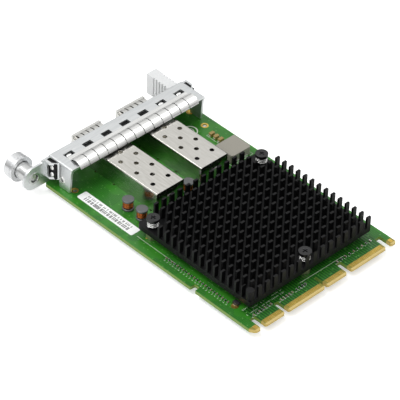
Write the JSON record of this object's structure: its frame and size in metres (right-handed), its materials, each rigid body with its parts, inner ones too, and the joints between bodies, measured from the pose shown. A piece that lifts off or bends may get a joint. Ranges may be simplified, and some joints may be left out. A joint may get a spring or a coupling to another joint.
{
  "type": "network interface card",
  "caption": "Mezzanine network card: board with keyed contact edge, finned heat sink, module cages, folded faceplate with pull tab and a sprung captive thumbscrew.",
  "frame": {"origin": "middle of the contact edge's end face line on the board's component side", "axes": "+Y the way the card is pushed into its connector, +Z out of the component side, +X towards the thumbscrew"},
  "size_m": [0.0868, 0.1314, 0.0174],
  "materials": {
    "solder_mask": "glossy green solder mask on glass-fibre board",
    "gold_plating": "gold-plated copper",
    "plated_steel": "satin nickel-plated sheet",
    "spring_strip": "bright plated spring strip",
    "cage_sheet": "satin nickel-plated sheet",
    "collar_sheet": "bright plated spring strip",
    "connector_plastic": "black moulding",
    "anodised_aluminium": "black anodised",
    "screw_steel": "plated steel",
    "black_steel": "black oxide steel",
    "spring_wire": "bright spring wire",
    "standoff_brass": "plated brass",
    "chip_package": "black moulding compound",
    "thermal_gel": "soft grey pad",
    "ferrite": "dark sintered ferrite",
    "copper_winding": "enamelled copper wire",
    "pressed_iron": "grey pressed powder block",
    "capacitor_ceramic": "tan ceramic with tinned ends",
    "resistor_ceramic": "black film with tinned ends",
    "moulded_case": "golden brown moulding",
    "label_paper": "white matt paper",
    "lens_plastic": "clear moulding",
    "tab_plastic": "light grey moulding",
    "knob_metal": "bright satin"
  },
  "bodies": {
    "card": {"circuit_board": "solder_mask", "edge_contacts": "gold_plating", "ground_rings": "gold_plating", "faceplate": "plated_steel", "top_gasket": "spring_strip", "side_gaskets": "spring_strip", "faceplate_screws": "screw_steel", "link_lights": "lens_plastic", "left_cage": "cage_sheet", "right_cage": "cage_sheet", "left_cage_collar": "collar_sheet", "right_cage_collar": "collar_sheet", "left_connector": "connector_plastic", "right_connector": "connector_plastic", "connector_leads": "gold_plating", "heat_sink": "anodised_aluminium", "heat_sink_screws": "black_steel", "heat_sink_springs": "spring_wire", "heat_sink_standoffs": "standoff_brass", "controller_chip": "chip_package", "thermal_pad": "thermal_gel", "inductor_cores": "ferrite", "inductor_windings": "copper_winding", "power_inductor": "pressed_iron", "moulded_capacitors": "moulded_case", "chip_capacitors": "capacitor_ceramic", "chip_resistors": "resistor_ceramic", "small_ics": "chip_package", "underside_capacitors": "capacitor_ceramic", "label": "label_paper", "pull_tab": "tab_plastic", "pull_tab_screws": "screw_steel", "thumbscrew_ferrule": "screw_steel", "thumbscrew_spring": "spring_wire"},
    "seat": {"thumbscrew_washer": "screw_steel"},
    "knob": {"thumbscrew_knob": "knob_metal", "thumbscrew_screw": "screw_steel"}
  },
  "joints": [
    {"name": "thumbscrew_push", "type": "slide", "parent": "card", "child": "seat", "axis": [0, 1, 0], "range_m": [0, 0.0038], "stiffness_N_per_m": 600, "springref_m": -0.001, "deforming": ["thumbscrew_spring"]},
    {"name": "thumbscrew_turn", "type": "hinge", "parent": "seat", "child": "knob", "pos_m": [0.04334, -0.122, 0.0051], "axis": [0, 1, 0], "continuous": true}
  ]
}
